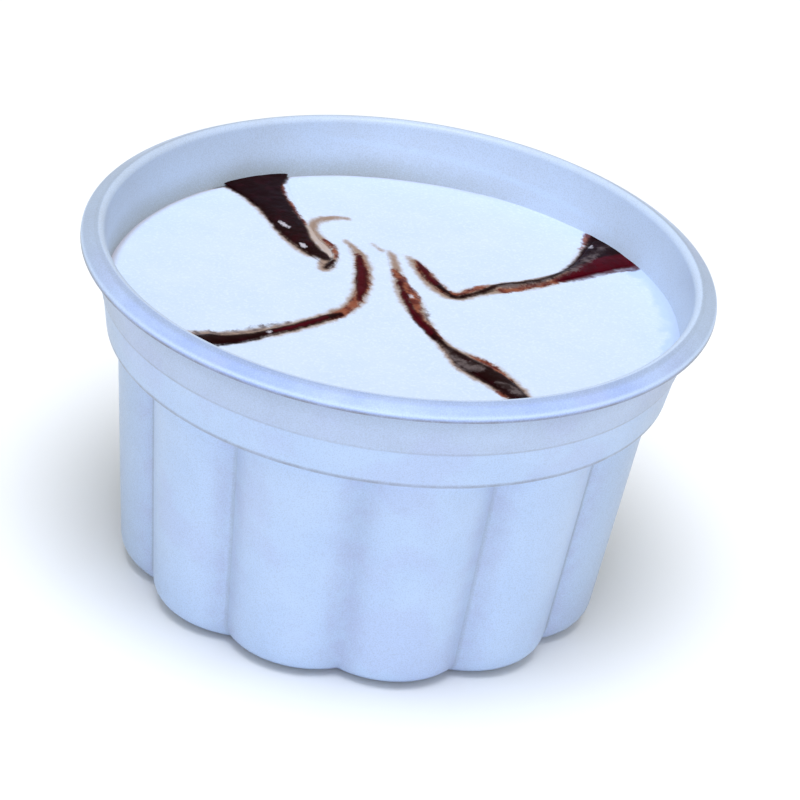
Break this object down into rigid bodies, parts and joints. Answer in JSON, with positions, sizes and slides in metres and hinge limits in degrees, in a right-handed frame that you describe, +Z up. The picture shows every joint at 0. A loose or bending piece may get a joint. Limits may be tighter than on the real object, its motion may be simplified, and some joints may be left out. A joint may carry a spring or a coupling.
{
  "type": "gelato cup",
  "caption": "Thin fluted plastic dessert cup with a plain collar and curled rim, filled with pale gelato that has dark chocolate rippled over its top.",
  "frame": {"origin": "centre of the underside of the cup's flat base", "axes": "+Z up the cup's axis, out of its mouth; a crease between two flutes faces -Y, which is the front"},
  "size_m": [0.095, 0.095, 0.0541],
  "materials": {
    "cup_plastic": "satin, slightly translucent",
    "gelato": "soft, finely grained ice cream with dark glossy ripple"
  },
  "bodies": {
    "root": {"cup": "cup_plastic", "gelato": "gelato"}
  },
  "joints": []
}
